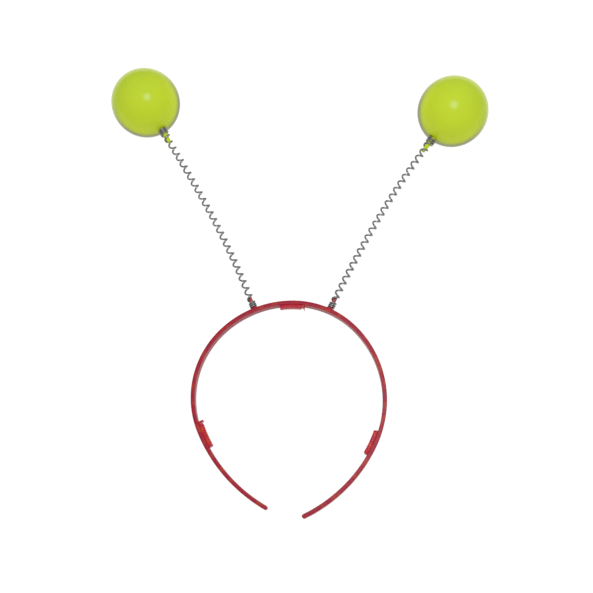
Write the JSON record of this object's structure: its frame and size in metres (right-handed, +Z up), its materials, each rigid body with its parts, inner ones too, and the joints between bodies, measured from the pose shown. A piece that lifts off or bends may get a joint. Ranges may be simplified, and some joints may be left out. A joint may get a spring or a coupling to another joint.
{
  "type": "head bopper headband",
  "caption": "Springy plastic headband with hair combs on its inside and hollow balls that nod on steel coil springs.",
  "frame": {"origin": "under the middle of the whole piece, on the surface that it lies on", "axes": "+Z up off that surface, +Y from the band's open end towards the balls, +X to the right seen from above"},
  "size_m": [0.2638, 0.3056, 0.0481],
  "materials": {
    "band_plastic": "glossy clear-tinted red plastic",
    "comb_plastic": "glossy clear-tinted bright red plastic",
    "spring_steel": "bright drawn spring wire",
    "ball_plastic": "glossy clear-tinted lime plastic"
  },
  "bodies": {
    "root": {"headband": "band_plastic", "comb_top": "comb_plastic", "comb_left": "comb_plastic", "comb_right": "comb_plastic", "spring_left": "spring_steel", "spring_right": "spring_steel", "ball_left": "ball_plastic", "ball_right": "ball_plastic"}
  },
  "joints": []
}
